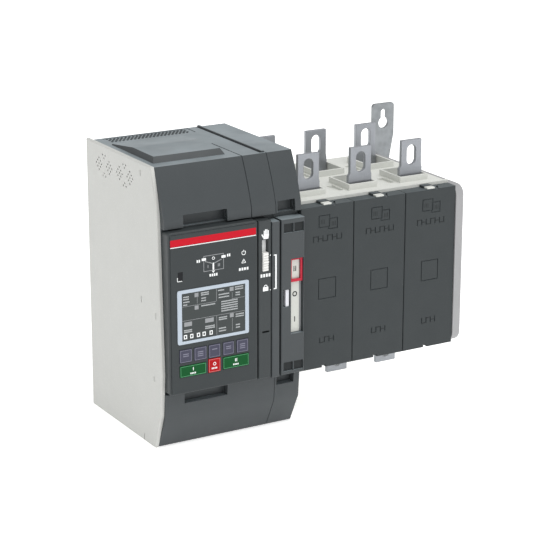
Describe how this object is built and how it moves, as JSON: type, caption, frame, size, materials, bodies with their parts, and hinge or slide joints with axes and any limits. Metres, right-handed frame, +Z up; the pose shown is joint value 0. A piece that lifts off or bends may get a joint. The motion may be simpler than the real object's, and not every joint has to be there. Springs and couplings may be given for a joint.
{
  "type": "automatic transfer switch",
  "caption": "Panel-mounted automatic transfer switch: dark motor operator with a control face beside a switch block with slotted terminals and a turning contact roller.",
  "frame": {"origin": "in the mounting plane, at the centre of the four mounting holes", "axes": "+X right seen from the front, +Y into the mounting panel, +Z up"},
  "size_m": [0.2977, 0.1401, 0.2328],
  "materials": {
    "panel_grey": "light grey moulded, fine grain",
    "base_plastic": "dark grey moulded",
    "hood_plastic": "dark grey moulded, fine grain",
    "cover_plastic": "dark grey moulded, fine grain",
    "face_plastic": "dark grey satin",
    "face_film": "printed film",
    "bezel_print": "pale blue satin",
    "display_glass": "dark display window",
    "key_violet": "dark violet",
    "key_green": "green",
    "key_red": "red",
    "frame_red": "red",
    "label_white": "printed white",
    "slider_plastic": "white ridged",
    "lock_plastic": "light grey",
    "insulating_plastic": "glass-filled moulded",
    "housing_plastic": "cream moulded",
    "cap_plastic": "mid grey moulded",
    "plated_copper": "tin-plated copper",
    "zinc_steel": "zinc-plated sheet",
    "bright_steel": "machined",
    "bearing_bronze": "sintered bronze",
    "motor_can": "black",
    "circuit_board": "green laminate"
  },
  "bodies": {
    "switch_frame": {"left_side_panel": "panel_grey", "right_side_panel": "panel_grey", "rear_base": "base_plastic", "front_hood_main": "hood_plastic", "front_hood_right": "hood_plastic", "top_lid": "hood_plastic", "vent_grille": "hood_plastic", "face_housing": "face_plastic", "face_overlay": "face_film", "display_bezel": "bezel_print", "display_glass": "display_glass", "face_board": "circuit_board", "selector_strip": "face_plastic", "centre_rib": "hood_plastic", "handle_plate": "hood_plastic", "position_label": "label_white", "mechanism_plate_left": "zinc_steel", "mechanism_plate_right": "zinc_steel", "frame_spacers": "bright_steel", "shaft_bushes": "bearing_bronze", "gear_motor": "motor_can", "control_board": "circuit_board", "pole_housing_1": "housing_plastic", "pole_housing_2": "housing_plastic", "pole_housing_3": "housing_plastic", "pole_cover_1": "cover_plastic", "pole_cover_2": "cover_plastic", "pole_cover_3": "cover_plastic", "source1_terminal_1": "plated_copper", "source1_terminal_2": "plated_copper", "source1_terminal_3": "plated_copper", "source2_terminal_1": "plated_copper", "source2_terminal_2": "plated_copper", "source2_terminal_3": "plated_copper", "load_terminal_1": "plated_copper", "load_terminal_2": "plated_copper", "load_terminal_3": "plated_copper", "arc_chutes": "insulating_plastic", "end_cap": "cap_plastic", "mounting_bracket": "zinc_steel", "tie_rods": "bright_steel"},
    "rotor": {"main_shaft": "bright_steel", "contact_roller": "insulating_plastic", "moving_contact_1": "plated_copper", "moving_contact_2": "plated_copper", "moving_contact_3": "plated_copper", "drive_gear": "bright_steel"},
    "pinion": {"motor_pinion": "bright_steel"},
    "indicator": {"position_frame": "frame_red", "indicator_rack": "insulating_plastic"},
    "selector": {"selector_slider": "slider_plastic"},
    "lock": {"lock_slide": "lock_plastic"},
    "soft_key_1_cap": {"soft_key_1": "key_violet"},
    "soft_key_2_cap": {"soft_key_2": "key_violet"},
    "soft_key_3_cap": {"soft_key_3": "key_violet"},
    "soft_key_4_cap": {"soft_key_4": "key_violet"},
    "soft_key_5_cap": {"soft_key_5": "key_violet"},
    "source1_key_cap": {"source1_key": "key_green"},
    "off_key_cap": {"off_key": "key_red"},
    "source2_key_cap": {"source2_key": "key_green"}
  },
  "joints": [
    {"name": "rotor_turn", "type": "hinge", "parent": "switch_frame", "child": "rotor", "pos_m": [0, -0.0645, 0], "axis": [1, 0, 0], "range_deg": [0, 90]},
    {"name": "pinion_turn", "type": "hinge", "parent": "switch_frame", "child": "pinion", "pos_m": [0, -0.0645, 0.036], "axis": [1, 0, 0], "range_deg": [-270, 0]},
    {"name": "indicator_slide", "type": "slide", "parent": "switch_frame", "child": "indicator", "axis": [0, 0, -1], "range_m": [0, 0.04242]},
    {"name": "selector_slide", "type": "slide", "parent": "switch_frame", "child": "selector", "axis": [0, 0, 1], "range_m": [0, 0.01]},
    {"name": "lock_pull", "type": "slide", "parent": "switch_frame", "child": "lock", "axis": [0, -1, 0], "range_m": [0, 0.008]},
    {"name": "soft_key_1_press", "type": "slide", "parent": "switch_frame", "child": "soft_key_1_cap", "axis": [0, 1, 0], "range_m": [0, 0.0008], "stiffness_N_per_m": 900, "springref_m": -0.0006},
    {"name": "soft_key_2_press", "type": "slide", "parent": "switch_frame", "child": "soft_key_2_cap", "axis": [0, 1, 0], "range_m": [0, 0.0008], "stiffness_N_per_m": 900, "springref_m": -0.0006},
    {"name": "soft_key_3_press", "type": "slide", "parent": "switch_frame", "child": "soft_key_3_cap", "axis": [0, 1, 0], "range_m": [0, 0.0008], "stiffness_N_per_m": 900, "springref_m": -0.0006},
    {"name": "soft_key_4_press", "type": "slide", "parent": "switch_frame", "child": "soft_key_4_cap", "axis": [0, 1, 0], "range_m": [0, 0.0008], "stiffness_N_per_m": 900, "springref_m": -0.0006},
    {"name": "soft_key_5_press", "type": "slide", "parent": "switch_frame", "child": "soft_key_5_cap", "axis": [0, 1, 0], "range_m": [0, 0.0008], "stiffness_N_per_m": 900, "springref_m": -0.0006},
    {"name": "source1_key_press", "type": "slide", "parent": "switch_frame", "child": "source1_key_cap", "axis": [0, 1, 0], "range_m": [0, 0.0008], "stiffness_N_per_m": 900, "springref_m": -0.0006},
    {"name": "off_key_press", "type": "slide", "parent": "switch_frame", "child": "off_key_cap", "axis": [0, 1, 0], "range_m": [0, 0.0008], "stiffness_N_per_m": 900, "springref_m": -0.0006},
    {"name": "source2_key_press", "type": "slide", "parent": "switch_frame", "child": "source2_key_cap", "axis": [0, 1, 0], "range_m": [0, 0.0008], "stiffness_N_per_m": 900, "springref_m": -0.0006}
  ],
  "couplings": [
    {"joint": "pinion_turn", "follows": "rotor_turn", "ratio": -3},
    {"joint": "indicator_slide", "follows": "rotor_turn", "m_per_rad": 0.027}
  ]
}
